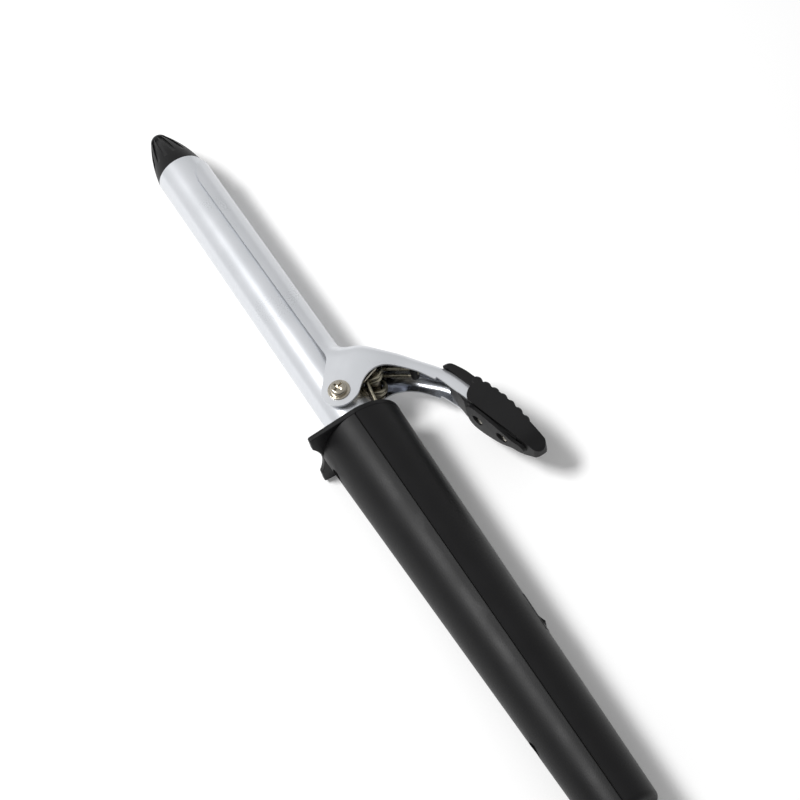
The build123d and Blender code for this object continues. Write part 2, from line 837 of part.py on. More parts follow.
with BuildPart() as spring_sleeve:
    with BuildSketch(Plane(origin=(sleeve_mid.X, sleeve_mid.Y, 0), z_dir=(0, 0, 1))):
        Circle(sleeve_radius)
    extrude(amount=bridge_half_gap + sleeve_overhang, both=True)
    fillet(spring_sleeve.edges(), sleeve_radius * 0.5)
    add(bridge_channel.part, mode=Mode.SUBTRACT)

spring_sleeve.part.label = "spring_sleeve"
export_step(spring_sleeve.part, "parts/spring_sleeve.step")

# Clamp: one pressed sheet that is the blade on the barrel, the two ears and the lever
blade_tip = barrel_end - blade_tip_setback

with BuildLine() as spine:
    Spline([Vector(pivot_x + x, y, half_width) for x, y, half_width, corner, tilt in stations])


def along_lever(x, column):
    # One column of the stations, taken in a straight line between its neighbours.
    for front, rear in zip(stations, stations[1:]):
        if rear[0] <= x <= front[0]:
            share = (front[0] - x) / (front[0] - rear[0])
            return front[column] + (rear[column] - front[column]) * share
    return stations[0][column] if x > 0 else stations[-1][column]


def hood_solid(inset):
    # The blade, ears and lever as a filled channel, drawn in from the sheet's outside by inset.
    back = spine.edge()
    places = [Vector(blade_tip, -tip_inner - sheet, tip_inner + sheet)]
    places += [back @ (number / hood_sections) for number in range(hood_sections + 1)]
    with BuildPart() as hood:
        for place in places:
            wide = place.Z - inset
            bend = min(along_lever(place.X - pivot_x, 3), place.Z - crown_flat) - inset
            tilt = radians(along_lever(place.X - pivot_x, 4))
            across = Plane(origin=(place.X, place.Y, 0), x_dir=(0, 0, 1), z_dir=(-cos(tilt), -sin(tilt), 0))
            with BuildSketch(across):
                with BuildLine():
                    Line((-wide, hood_depth), (-wide, inset + bend))
                    RadiusArc((-wide, inset + bend), (bend - wide, inset), -bend)
                    Line((bend - wide, inset), (wide - bend, inset))
                    RadiusArc((wide - bend, inset), (wide, inset + bend), -bend)
                    Line((wide, inset + bend), (wide, hood_depth))
                    Line((wide, hood_depth), (-wide, hood_depth))
                make_face()
        loft(ruled=True)
    return hood.part


# The sheet's edge, seen from the side: blade edge, ear and the lever's lower edge
edge_turn = degrees(acos(ear_radius / sqrt(ear_front[0] ** 2 + ear_front[1] ** 2)))
edge_turn += degrees(atan2(ear_front[1], ear_front[0]))


def ear_point(turn):
    return Vector(pivot_x + ear_radius * cos(radians(turn)), pivot_y + ear_radius * sin(radians(turn)))


with BuildPart() as clamp:
    add(hood_solid(0))
    with BuildSketch(Plane.XY) as side_view:
        with BuildLine():
            far_side = lever_end_y - trim_margin
            lever_rear = lever_end - trim_margin
            root = Vector(pivot_x + blade_root, -blade_edge_root)
            front = Vector(pivot_x + ear_front[0], pivot_y + ear_front[1])
            ear_start = ear_point(edge_turn)
            ear_end = ear_point(ear_rear_turn)
            tip_edge = Vector(blade_tip + tip_overrun, -blade_edge_tip)
            Polyline((lever_rear, far_side), (tip_edge.X, far_side), tip_edge, root)
            Spline(root, front, tangents=(root - tip_edge, ear_start - front))
            Line(front, ear_start)
            ThreePointArc(ear_start, ear_point((edge_turn + ear_rear_turn) / 2), ear_end)
            lower = [Vector(pivot_x + x, pivot_y + y) for x, y in lever_edge]
            rear_way = Vector(-sin(radians(ear_rear_turn)), cos(radians(ear_rear_turn)))
            level = Vector(-1, -lever_edge_slope)
            bottom = Spline([ear_end] + lower, tangents=(rear_way, level))
            edge_end = bottom @ 1 + level * ((bottom @ 1).X - lever_rear)
            Polyline(bottom @ 1, edge_end, (lever_rear, far_side))
        make_face()
        tip_corner = side_view.vertices().sort_by_distance(tip_edge)[0]
        fillet(tip_corner, blade_corner)
    extrude(amount=2 * ear_outside, both=True, mode=Mode.INTERSECT)
    add(hood_solid(sheet), mode=Mode.SUBTRACT)
    with BuildSketch(Plane.XY):
        with Locations((pivot_x, pivot_y)):
            Circle(screw_shank + running_clearance)
    extrude(amount=2 * ear_outside, both=True, mode=Mode.SUBTRACT)
    with BuildSketch(side_plane):
        with Locations(*[(pivot_x + x, 0) for x in grip_screw_places]):
            Circle(grip_screw_radius + grip_screw_clearance)
    extrude(amount=far_side, mode=Mode.SUBTRACT)

clamp.part.label = "clamp"
export_step(clamp.part, "parts/clamp.step")

# Thumb grip: the ridged upper part straddles the lever, the lower part fills the lever's channel


def from_pivot(points):
    return [Vector(pivot_x + x, y) for x, y in points]


def between(points, place):
    # The second number of the pairs, taken in a straight line between neighbours.
    for one, other in zip(points, points[1:]):
        if min(one[0], other[0]) <= place <= max(one[0], other[0]):
            share = (place - one[0]) / (other[0] - one[0])
            return one[1] + (other[1] - one[1]) * share
    return points[0][1]


ridge_ends = from_pivot([grip_top[4], grip_top[5], grip_top[6]])
with BuildLine() as ridge_line:
    ThreePointArc(*ridge_ends)

ridge_chord = ridge_line.wire().length / grip_ridges
ridge_radius = (ridge_chord ** 2 / 4 + grip_ridge_height ** 2) / (2 * grip_ridge_height)


def ridge_bar(number):
    # One rounded bar across the grip, sunk so that its top stands proud of the ridge line.
    rear = ridge_line.wire() @ (number / grip_ridges)
    front = ridge_line.wire() @ ((number + 1) / grip_ridges)
    way = (front - rear).normalized()
    inward = Vector(way.Y, -way.X, 0)
    if inward.Y < 0:
        inward = inward * -1
    centre = (rear + front) * 0.5 + inward * (ridge_radius - grip_ridge_height)
    narrow_end = min(rear.X, front.X) - pivot_x
    half_width = grip_half_width * between(grip_plan, narrow_end) - grip_ridge_inset
    with BuildPart() as bar:
        with BuildSketch(Plane.XY):
            with Locations((centre.X, centre.Y)):
                Circle(ridge_radius)
        extrude(amount=half_width, both=True)
        fillet(bar.edges().filter_by(GeomType.CIRCLE), grip_ridge_round)
    return bar.part


hood_pocket = hood_solid(-grip_fit)
channel_fill = hood_solid(sheet + grip_fit)

with BuildPart() as thumb_grip_upper:
    with BuildSketch(Plane.XY):
        with BuildLine():
            Spline(from_pivot(grip_top))
            ThreePointArc(*from_pivot(grip_tip_arc))
            Polyline(from_pivot(grip_skirt_line))
            Spline(from_pivot(grip_skirt_front))
            Line(*from_pivot([grip_skirt_front[-1], grip_top[0]]))
        make_face()
    extrude(amount=2 * grip_half_width, both=True)
    with BuildSketch(side_plane):
        with BuildLine():
            nose = Vector(pivot_x + grip_front, grip_tongue_half_width - grip_front_round)
            Line((nose.X, 0), nose)
            tongue_start = Vector(nose.X - grip_front_round, grip_tongue_half_width)
            RadiusArc(nose, tongue_start, -grip_front_round)
            Spline(
                tongue_start,
                (pivot_x + grip_tongue_end, grip_tongue_half_width),
                *[(pivot_x + x, grip_half_width * share) for x, share in grip_plan],
                (pivot_x + grip_tip, 0),
                tangents=((-1, 0), (0, -1)),
            )
            mirror(about=Plane.XZ)
        make_face()
    extrude(amount=-plan_depth, mode=Mode.INTERSECT)
    grip_crown = thumb_grip_upper.faces().filter_by(lambda face: face.normal_at(face.center()).Y < -0.3)
    grip_edges = grip_crown.sort_by(SortBy.AREA)[-1].edges().filter_by(lambda edge: abs((edge % 0.5).Z) < 0.9)
    fillet(grip_edges, grip_edge_round)
    for number in range(grip_ridges):
        add(ridge_bar(number))
    add(hood_pocket, mode=Mode.SUBTRACT)
    with Locations((lever_end, lever_end_y + 15, 0)):
        Box(2 * plate_groove, 30 + 2 * grip_fit, 2 * (lever_end_half_width + grip_fit), mode=Mode.SUBTRACT)
    for place in grip_screw_places:
        seat = between(grip_skirt_line, place) + plate_groove + plate_thickness - grip_screw_sunk
        with BuildSketch(side_plane.offset(seat)):
            with Locations((pivot_x + place, 0)):
                Circle(grip_screw_radius + fit)
        extrude(amount=-grip_screw_length - plate_groove, mode=Mode.SUBTRACT)

thumb_grip_upper.part.label = "thumb_grip_upper"
export_step(thumb_grip_upper.part, "parts/thumb_grip_upper.step")

plate_top = [(x, y + plate_groove) for x, y in grip_skirt_line]
plate_bottom = [(x, y + plate_groove + plate_thickness) for x, y in grip_skirt_line]
with BuildPart() as grip_core:
    with BuildSketch(Plane.XY):
        with BuildLine():
            Polyline(
                from_pivot(plate_top[1:] + tongue_under)
                + from_pivot([(tongue_under[-1][0], lever_end_y), (plate_top[1][0], lever_end_y - 5)]),
                close=True,
            )
        make_face()
    extrude(amount=grip_half_width, both=True)
    add(channel_fill, mode=Mode.INTERSECT)

with BuildPart() as thumb_grip_lower:
    with BuildSketch(Plane.XY):
        with BuildLine():
            Polyline(from_pivot(plate_top + plate_bottom[::-1]), close=True)
        make_face()
    extrude(amount=plate_half_width, both=True)
    with BuildSketch(side_plane):
        with BuildLine():
            plate_front = pivot_x + grip_skirt_line[-1][0] - plate_front_setback
            plate_rear = pivot_x + grip_skirt_line[0][0] + plate_tip_setback
            corner_start = Vector(plate_front, plate_half_width - plate_corner)
            corner_end = Vector(plate_front - plate_corner, plate_half_width)
            Line((plate_front, 0), corner_start)
            RadiusArc(corner_start, corner_end, -plate_corner)
            Spline(
                corner_end,
                *[(pivot_x + x, plate_half_width * share) for x, share in plate_outline],
                (plate_rear, 0),
                tangents=((-1, 0), (0, -1)),
            )
            mirror(about=Plane.XZ)
        make_face()
    extrude(amount=-plan_depth, mode=Mode.INTERSECT)
    add(grip_core.part)
    for place in grip_screw_places:
        seat = between(grip_skirt_line, place) + plate_groove + plate_thickness - grip_screw_sunk
        with BuildSketch(side_plane.offset(seat)):
            with Locations((pivot_x + place, 0)):
                Circle(grip_screw_head + plate_groove)
        extrude(amount=10, mode=Mode.SUBTRACT)
        with BuildSketch(side_plane.offset(seat)):
            with Locations((pivot_x + place, 0)):
                Circle(grip_screw_radius + grip_fit)
        extrude(amount=-10, mode=Mode.SUBTRACT)

thumb_grip_lower.part.label = "thumb_grip_lower"
export_step(thumb_grip_lower.part, "parts/thumb_grip_lower.step")

with BuildPart() as grip_screws:
    for place in grip_screw_places:
        seat = between(grip_skirt_line, place) + plate_groove + plate_thickness - grip_screw_sunk
        add(side_screw(
            pivot_x + place, seat, grip_screw_length,
            grip_screw_head, grip_screw_head_height, grip_screw_radius,
        ))

grip_screws.part.label = "grip_screws"
export_step(grip_screws.part, "parts/grip_screws.step")

# Rocker switch: a housing snapped into the handle, two terminals and the rocker on its pins
rocker_y = bezel_top + rocker_depth
switch_base = bezel_floor + switch_depth
rocker_half = rocker_length / 2

with BuildPart() as terminal_slots:
    for end in (-1, 1):
        with Locations((switch_at + end * terminal_spacing / 2, switch_base - terminal_root / 2, 0)):
            Box(terminal_thickness + 2 * fit, terminal_root + 2 * fit, terminal_width + 2 * fit)

with BuildPart() as switch_housing:
    with Locations((switch_at, bezel_floor - bezel_height, 0)):
        Box(bezel_length, 2 * bezel_height, bezel_width)
    add(handle_solid(-bezel_proud), mode=Mode.INTERSECT)
    with Locations((switch_at, bezel_floor + switch_depth / 2, 0)):
        Box(switch_length, switch_depth, switch_width)
    with Locations((switch_at, bezel_top + (rocker_well - bezel_height) / 2, 0)):
        well_length = rocker_length + 2 * rocker_end_gap
        Box(well_length, rocker_well + bezel_height, rocker_width + 2 * rocker_gap, mode=Mode.SUBTRACT)
    with BuildSketch(Plane.XY):
        with Locations((switch_at, rocker_y)):
            Circle(rocker_pin + rocker_pin_clearance)
    extrude(amount=bezel_width, both=True, mode=Mode.SUBTRACT)
    add(terminal_slots.part, mode=Mode.SUBTRACT)

switch_housing.part.label = "switch_housing"
export_step(switch_housing.part, "parts/switch_housing.step")

with BuildPart() as switch_terminals:
    for end in (-1, 1):
        terminal_mid = switch_base + (terminal_length - terminal_root) / 2
        with Locations((switch_at + end * terminal_spacing / 2, terminal_mid, 0)):
            Box(terminal_thickness, terminal_length + terminal_root, terminal_width)

switch_terminals.part.label = "switch_terminals"
export_step(switch_terminals.part, "parts/switch_terminals.step")

with BuildPart() as rocker:
    lean = (cos(radians(rocker_tilt)), sin(radians(rocker_tilt)), 0)
    with BuildSketch(Plane(origin=(switch_at, rocker_y, 0), x_dir=lean)):
        with BuildLine():
            Polyline(
                (rocker_half, -rocker_end_height), (rocker_half, rocker_shoulder), (0, rocker_heel),
                (-rocker_half, rocker_shoulder), (-rocker_half, -rocker_end_height),
            )
            ThreePointArc(
                (-rocker_half, -rocker_end_height), (0, -rocker_dish_height), (rocker_half, -rocker_end_height),
            )
        make_face()
    extrude(amount=rocker_width / 2, both=True)
    fillet(rocker.edges().filter_by(Axis.Z).group_by(Axis.Y)[0], rocker_gap)
    with BuildSketch(Plane.XY):
        with Locations((switch_at, rocker_y)):
            Circle(rocker_pin)
    extrude(amount=switch_width / 2, both=True)

rocker.part.label = "rocker"
export_step(rocker.part, "parts/rocker.step")

# Cord swivel: a gland that turns in the handle's rear wall, with two slip rings on its shaft
gland_inside = handle_rear_wall + gland_clearance
shaft_start = gland_inside + gland_flange_thickness
shaft_end = shaft_start + gland_shaft_length

with BuildPart() as swivel_gland:
    with BuildSketch(Plane.XY):
        with BuildLine():
            Polyline(
                (shaft_end, gland_bore),
                (shaft_end, gland_shaft),
                (shaft_start, gland_shaft),
                (shaft_start, gland_flange),
                (gland_inside, gland_flange),
                (gland_inside, gland_neck),
                (-gland_clearance, gland_neck),
                (-gland_clearance, gland_tail_radius),
                (-gland_clearance - gland_tail, gland_neck),
                (-gland_clearance - gland_tail, gland_bore),
                close=True,
            )
        make_face()
    revolve(axis=Axis.X)

swivel_gland.part.label = "swivel_gland"
export_step(swivel_gland.part, "parts/swivel_gland.step")

with BuildPart() as slip_rings:
    for number in range(2):
        with BuildSketch(cross_plane(shaft_start + ring_first + number * ring_spacing)):
            Circle(gland_shaft + ring_height)
            Circle(gland_shaft + fit, mode=Mode.SUBTRACT)
        extrude(amount=ring_width)

slip_rings.part.label = "slip_rings"
export_step(slip_rings.part, "parts/slip_rings.step")

# Contacts that feed the slip rings, held in an insulating disc across the handle
carrier_start = shaft_end + 4 * gland_clearance
carrier_end = carrier_start + carrier_thickness
strip_inner = gland_shaft + ring_height + strip_clearance
strip_start = shaft_start + ring_first - ring_width / 2
strip_length = carrier_end + ring_width - strip_start


def strip_boxes(extra):
    with BuildPart() as strips:
        for side in (-1, 1):
            with Locations((strip_start + strip_length / 2, 0, side * (strip_inner + blade_strip / 2))):
                Box(strip_length, strip_width + 2 * extra, blade_strip + 2 * extra)
    return strips.part


with BuildPart() as contact_carrier:
    with BuildSketch(cross_plane(carrier_start)):
        Circle(handle_radius(carrier_start) - handle_wall - fit)
        Circle(gland_bore + gland_clearance, mode=Mode.SUBTRACT)
    extrude(amount=carrier_thickness)
    add(strip_boxes(fit), mode=Mode.SUBTRACT)

contact_carrier.part.label = "contact_carrier"
export_step(contact_carrier.part, "parts/contact_carrier.step")

with BuildPart() as contact_strips:
    add(strip_boxes(0))

contact_strips.part.label = "contact_strips"
export_step(contact_strips.part, "parts/contact_strips.step")

# Wiring: from the electrodes through a thermal fuse and the switch to the contacts
strip_end = strip_start + strip_length
strip_mid = strip_inner + blade_strip / 2
tail_end = heater_end - electrode_length
terminal_y = switch_base + terminal_length / 2
terminal_reach = terminal_spacing / 2 + terminal_thickness / 2 + running_clearance
fuse_front = shell_end - seat_length - fuse_setback
fuse_rear = fuse_front - fuse_length
fuse_gap = fuse_rear - switch_at - terminal_reach
strip_gap = switch_at - terminal_reach - strip_end
tail_gap = tail_end - fuse_front


def lead(points):
    with BuildPart() as wire_run:
        with BuildLine() as way:
            FilletPolyline(*points, radius=lead_bend)
        with BuildSketch(Plane(origin=way.wire() @ 0, z_dir=way.wire() % 0)):
            Circle(lead_radius)
        sweep(path=way.wire())
    return wire_run.part


with BuildPart() as lead_neutral:
    add(lead([
        (tail_end - running_clearance, lead_spread, 0),
        (fuse_front + tail_gap * lead_share, lead_spread, 0),
        (fuse_front, lead_side_y, lead_side_z),
        (strip_end + strip_gap * (1 - lead_share), lead_side_y, lead_side_z),
        (strip_end + strip_gap * lead_share, 0, strip_mid),
        (strip_end + running_clearance, 0, strip_mid),
    ]))

lead_neutral.part.label = "lead_neutral"
export_step(lead_neutral.part, "parts/lead_neutral.step")

with BuildPart() as lead_live:
    add(lead([
        (tail_end - running_clearance, -lead_spread, 0),
        (tail_end - tail_gap * lead_share, -lead_spread, 0),
        (fuse_front + tail_gap * lead_share, fuse_y, fuse_z),
        (fuse_front + running_clearance, fuse_y, fuse_z),
    ]))

lead_live.part.label = "lead_live"
export_step(lead_live.part, "parts/lead_live.step")

with BuildPart() as thermal_fuse:
    with BuildSketch(cross_plane(fuse_rear)):
        with Locations((fuse_y, fuse_z)):
            Circle(fuse_radius)
    extrude(amount=fuse_length)
    fillet(thermal_fuse.edges(), lead_radius)

thermal_fuse.part.label = "thermal_fuse"
export_step(thermal_fuse.part, "parts/thermal_fuse.step")

with BuildPart() as lead_fuse:
    add(lead([
        (fuse_rear - running_clearance, fuse_y, fuse_z),
        (fuse_rear - fuse_gap * lead_share, fuse_y, fuse_z),
        (fuse_rear - fuse_gap * (1 - lead_share), terminal_y, 0),
        (switch_at + terminal_reach, terminal_y, 0),
    ]))

lead_fuse.part.label = "lead_fuse"
export_step(lead_fuse.part, "parts/lead_fuse.step")

with BuildPart() as lead_switch:
    add(lead([
        (switch_at - terminal_reach, terminal_y, 0),
        (strip_end + strip_gap * (1 - lead_share), terminal_y, 0),
        (strip_end + strip_gap * lead_share, 0, -strip_mid),
        (strip_end + running_clearance, 0, -strip_mid),
    ]))

lead_switch.part.label = "lead_switch"
export_step(lead_switch.part, "parts/lead_switch.step")
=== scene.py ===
import json
import math

import bmesh
import bpy
from mathutils import Matrix, Vector


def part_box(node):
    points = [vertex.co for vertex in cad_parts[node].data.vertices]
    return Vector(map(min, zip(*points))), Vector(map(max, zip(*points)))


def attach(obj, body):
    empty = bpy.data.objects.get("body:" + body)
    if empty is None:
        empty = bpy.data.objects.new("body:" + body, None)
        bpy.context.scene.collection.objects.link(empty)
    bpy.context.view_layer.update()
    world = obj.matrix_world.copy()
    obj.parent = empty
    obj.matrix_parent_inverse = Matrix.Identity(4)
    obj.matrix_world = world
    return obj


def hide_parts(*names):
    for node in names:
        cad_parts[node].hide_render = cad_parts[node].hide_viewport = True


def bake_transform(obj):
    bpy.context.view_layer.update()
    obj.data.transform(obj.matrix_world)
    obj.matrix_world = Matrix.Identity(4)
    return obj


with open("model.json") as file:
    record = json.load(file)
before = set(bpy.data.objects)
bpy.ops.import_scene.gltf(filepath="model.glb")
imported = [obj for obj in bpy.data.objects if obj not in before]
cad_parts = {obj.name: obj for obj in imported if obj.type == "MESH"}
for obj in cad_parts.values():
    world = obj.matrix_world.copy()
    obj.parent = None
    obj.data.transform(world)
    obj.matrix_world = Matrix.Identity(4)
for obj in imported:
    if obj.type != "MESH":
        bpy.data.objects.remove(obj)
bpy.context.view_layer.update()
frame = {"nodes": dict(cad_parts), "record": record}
nodes = frame["nodes"]
mm = 0.001
print("frame loaded:", len(nodes), "nodes")


def hexColor(text):
    shares = [int(text[i:i + 2], 16) / 255 for i in (1, 3, 5)]
    linear = [s / 12.92 if s <= 0.04045 else ((s + 0.055) / 1.055) ** 2.4 for s in shares]
    return (*linear, 1.0)


def addNode(tree, kind, values=None, links=None):
    node = tree.nodes.new(kind)
    for key, value in (values or {}).items():
        if isinstance(key, str) and hasattr(node, key):
            setattr(node, key, value)
        else:
            node.inputs[key].default_value = value
    for key, socket in (links or {}).items():
        tree.links.new(socket, node.inputs[key])
    return node


def newMaterial(name):
    material = bpy.data.materials.new(name)
    material.use_nodes = True
    material.node_tree.nodes.clear()
    return material


# where in the mixed pattern the tone and the gloss begin and end, and the grain's depth as a share of its size
patternSpan = {"tone": (0.35, 0.95), "gloss": (0.3, 0.9), "depth": 0.25}


def makeFinish(name, look):
    # grain is the fine texture, cloud the slow change of tone and gloss, both sized in millimetres
    material = newMaterial(name)
    tree = material.node_tree
    place = addNode(tree, "ShaderNodeTexCoord")
    stretch = addNode(
        tree, "ShaderNodeMapping", {"Scale": look.get("stretch", (1, 1, 1))},
        {"Vector": place.outputs["Object"]},
    )
    grain = addNode(
        tree, "ShaderNodeTexNoise", {"Scale": 1 / (look["grain"] * mm), "Detail": 3.0, "Roughness": 0.55},
        {"Vector": stretch.outputs["Vector"]},
    )
    cloud = addNode(
        tree, "ShaderNodeTexNoise", {"Scale": 1 / (look["cloud"] * mm), "Detail": 2.0, "Roughness": 0.5},
        {"Vector": place.outputs["Object"]},
    )
    blend = addNode(
        tree, "ShaderNodeMath", {"operation": "MULTIPLY_ADD", 1: look.get("fleck", 0.3)},
        {0: grain.outputs["Fac"], 2: cloud.outputs["Fac"]},
    )
    low, high = patternSpan["tone"]
    spread = addNode(
        tree, "ShaderNodeMapRange", {"From Min": low, "From Max": high}, {"Value": blend.outputs["Value"]},
    )
    tint = addNode(
        tree, "ShaderNodeMix", {"data_type": "RGBA", 6: hexColor(look["shade"]), 7: hexColor(look["colour"])},
        {0: spread.outputs["Result"]},
    )
    low, high = patternSpan["gloss"]
    smooth, rough = look["gloss"]
    gloss = addNode(
        tree, "ShaderNodeMapRange", {"From Min": low, "From Max": high, "To Min": smooth, "To Max": rough},
        {"Value": blend.outputs["Value"]},
    )
    relief = addNode(
        tree, "ShaderNodeBump",
        {"Strength": look["relief"], "Distance": look["grain"] * mm * patternSpan["depth"]},
        {"Height": grain.outputs["Fac"]},
    )
    surface = addNode(
        tree, "ShaderNodeBsdfPrincipled",
        {"Metallic": look["metal"], "Specular IOR Level": look.get("specular", 0.5)},
        {
            "Base Color": tint.outputs[2],
            "Roughness": gloss.outputs["Result"],
            "Normal": relief.outputs["Normal"],
        },
    )
    addNode(tree, "ShaderNodeOutputMaterial", {}, {"Surface": surface.outputs["BSDF"]})
    return material


finishes = {
    # moulded glass-filled nylon with a spark-eroded face: near black, a soft wide sheen
    "black_plastic": makeFinish("moulded black nylon", {
        "colour": "#101011", "shade": "#0c0c0d", "metal": 0.0, "gloss": (0.38, 0.48), "specular": 0.18,
        "grain": 0.45, "cloud": 11.0, "relief": 0.3, "fleck": 0.5,
    }),
    # satin silver coating baked on steel: an even cool grey with a broad highlight
    "plated_steel": makeFinish("satin silver coated steel", {
        "colour": "#d0d2d6", "shade": "#c9ccd0", "metal": 0.55, "gloss": (0.25, 0.31), "specular": 0.4,
        "grain": 0.35, "cloud": 16.0, "relief": 0.04, "fleck": 0.4,
    }),
    # nickel plate on turned steel: a warm grey shine, a little uneven
    "nickel_steel": makeFinish("nickel plated steel", {
        "colour": "#b8b2a6", "shade": "#9b9588", "metal": 1.0, "gloss": (0.2, 0.3),
        "grain": 0.4, "cloud": 2.5, "relief": 0.06,
    }),
    # yellow-passivated zinc on drawn wire: straw to grey along its length
    "zinc_wire": makeFinish("yellow zinc plated spring wire", {
        "colour": "#aba694", "shade": "#6f6b5e", "metal": 1.0, "gloss": (0.2, 0.34),
        "grain": 0.3, "cloud": 2.0, "relief": 0.08,
    }),
    # extruded rubber tube: deep black and dull
    "sleeve_rubber": makeFinish("black rubber sleeve", {
        "colour": "#121212", "shade": "#0d0d0d", "metal": 0.0, "gloss": (0.55, 0.68), "specular": 0.3,
        "grain": 0.3, "cloud": 3.0, "relief": 0.2,
    }),
    # pressed phenolic resin: brown with a fine mottle
    "bakelite": makeFinish("brown phenolic moulding", {
        "colour": "#4a2f20", "shade": "#37221a", "metal": 0.0, "gloss": (0.42, 0.55),
        "grain": 0.6, "cloud": 4.0, "relief": 0.15, "fleck": 0.7,
    }),
    # fired alumina: chalky off-white
    "ceramic": makeFinish("fired alumina", {
        "colour": "#dcd6c8", "shade": "#cac3b3", "metal": 0.0, "gloss": (0.6, 0.78),
        "grain": 0.4, "cloud": 6.0, "relief": 0.25,
    }),
    # extruded aluminium: drawn lines along its length
    "aluminium": makeFinish("extruded aluminium", {
        "colour": "#d0d0d2", "shade": "#bcbcbf", "metal": 1.0, "gloss": (0.28, 0.44),
        "grain": 0.5, "cloud": 6.0, "relief": 0.08, "stretch": (0.05, 1, 1), "fleck": 0.6,
    }),
    # rolled polyimide film: amber and glossy
    "polyimide": makeFinish("amber polyimide film", {
        "colour": "#b9701c", "shade": "#a35e13", "metal": 0.0, "gloss": (0.18, 0.3),
        "grain": 0.6, "cloud": 8.0, "relief": 0.05,
    }),
    # stamped brass strip: yellow, dulled by handling
    "brass": makeFinish("stamped brass", {
        "colour": "#d7b56a", "shade": "#bd9a4e", "metal": 1.0, "gloss": (0.24, 0.4),
        "grain": 0.4, "cloud": 3.0, "relief": 0.06,
    }),
    # braided glass sleeve soaked in silicone: pale, faintly fuzzy
    "lead_insulation": makeFinish("silicone lead insulation", {
        "colour": "#b7ada0", "shade": "#9d9386", "metal": 0.0, "gloss": (0.5, 0.62),
        "grain": 0.35, "cloud": 5.0, "relief": 0.3, "fleck": 0.6,
    }),
}

# bare plated face on the inside of the clamp: soft reflections with slight rolling marks
mirrorPlate = makeFinish("polished nickel plate", {
    "colour": "#c9ccd2", "shade": "#b7bac1", "metal": 1.0, "gloss": (0.18, 0.26),
    "grain": 0.6, "cloud": 9.0, "relief": 0.03, "stretch": (0.1, 1, 1),
})

slotOf = {entry["node"]: entry["material_slot"] for entry in frame["record"]["subparts"]}
for name, node in nodes.items():
    node.data.materials.clear()
    node.data.materials.append(finishes[slotOf[name]])
print("finishes given to", len(nodes), "nodes")


def addPiece(name, vertices, faces, creaseAngle):
    mesh = bpy.data.meshes.new(name)
    mesh.from_pydata(vertices, [], faces)
    mesh.validate()
    mesh.shade_smooth()
    mesh.set_sharp_from_angle(angle=math.radians(creaseAngle))
    piece = bpy.data.objects.new(name, mesh)
    bpy.context.scene.collection.objects.link(piece)
    return piece


# Clamp: the pressed sheet shades as one surface, satin outside and bare plate inside
clampLook = {"weld": 0.001, "crease": 32, "crownFacing": 0.9}


def clampSheet(look):
    work = bmesh.new()
    work.from_mesh(nodes["clamp"].data)
    bmesh.ops.remove_doubles(work, verts=work.verts, dist=look["weld"] * mm)
    work.verts.index_update()
    work.faces.index_update()
    work.normal_update()
    crown = [face for face in work.faces if face.normal.y > look["crownFacing"]]
    growing = [min(crown, key=lambda face: abs(face.calc_center_median().z))]
    inside = {growing[0].index}
    while growing:
        # the inside spreads from one face of the crown until the sheet's edge turns away
        for edge in growing.pop().edges:
            if edge.calc_face_angle(math.pi) < math.radians(look["crease"]):
                found = [face for face in edge.link_faces if face.index not in inside]
                inside.update(face.index for face in found)
                growing += found
    vertices = [vertex.co.copy() for vertex in work.verts]
    faces = [[vertex.index for vertex in face.verts] for face in work.faces]
    work.free()
    sheet = addPiece("clamp_sheet", vertices, faces, look["crease"])
    sheet.data.materials.append(finishes["plated_steel"])
    sheet.data.materials.append(mirrorPlate)
    for face in sheet.data.polygons:
        face.material_index = 1 if face.index in inside else 0
    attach(sheet, "clamp_lever")
    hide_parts("clamp")
    print("clamp sheet made,", len(inside), "of", len(faces), "faces inside")


clampSheet(clampLook)

# Return spring: one wire, bent where it crosses from the handle to the lever
springLook = {
    "wire": 1.5, "coilRadius": 3.3, "coilPitch": 2.3, "coilTurns": 2, "bridgeHalfGap": 2.4,
    "bridgeAngle": 53, "legTilt": 8, "legLength": 24, "sleeveShare": 0.55, "still": 4.4,
    "sides": 14, "turnStep": 10, "legSteps": 4, "bridgeSteps": 10, "bendStep": 15, "crease": 40,
}


def middleOf(name):
    low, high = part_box(name)
    return (low + high) / 2


def springRoute(look):
    coil = middleOf("spring_pin")
    sleeve = middleOf("spring_sleeve")
    lastTurn = 360 * look["coilTurns"] + 180 - look["bridgeAngle"]

    def coilPoint(turn):
        angle = math.radians(turn)
        radius = look["coilRadius"]
        depth = look["bridgeHalfGap"] + look["coilPitch"] * (lastTurn - turn) / 360
        return coil + Vector((radius * math.sin(angle), radius * math.cos(angle), depth)) * mm

    def coilWay(turn):
        return Vector((math.cos(math.radians(turn)), -math.sin(math.radians(turn)), 0))

    steps = round((lastTurn - look["legTilt"]) / look["turnStep"])
    turns = [look["legTilt"] + (lastTurn - look["legTilt"]) * i / steps for i in range(steps + 1)]
    legs = look["legSteps"]
    legWay = coilWay(turns[0]) * look["legLength"] * mm
    points = [coilPoint(turns[0]) - legWay * i / legs for i in range(legs, 0, -1)]
    points += [coilPoint(turn) for turn in turns]
    way = coilWay(lastTurn)
    half = look["bridgeHalfGap"] * mm
    bridgeStart = points[-1]
    bridgeEnd = Vector((sleeve.x, sleeve.y, half)) - way * half * look["sleeveShare"]
    bridges = look["bridgeSteps"]
    points += [bridgeStart.lerp(bridgeEnd, i / bridges) for i in range(1, bridges + 1)]
    for turn in range(look["bendStep"], 91, look["bendStep"]):
        bend = math.radians(turn)
        points.append(bridgeEnd + way * half * math.sin(bend) + Vector((0, 0, half * (math.cos(bend) - 1))))
    points += [Vector((p.x, p.y, -p.z)) for p in reversed(points[:-1])]
    return points, bridgeStart, bridgeEnd, way


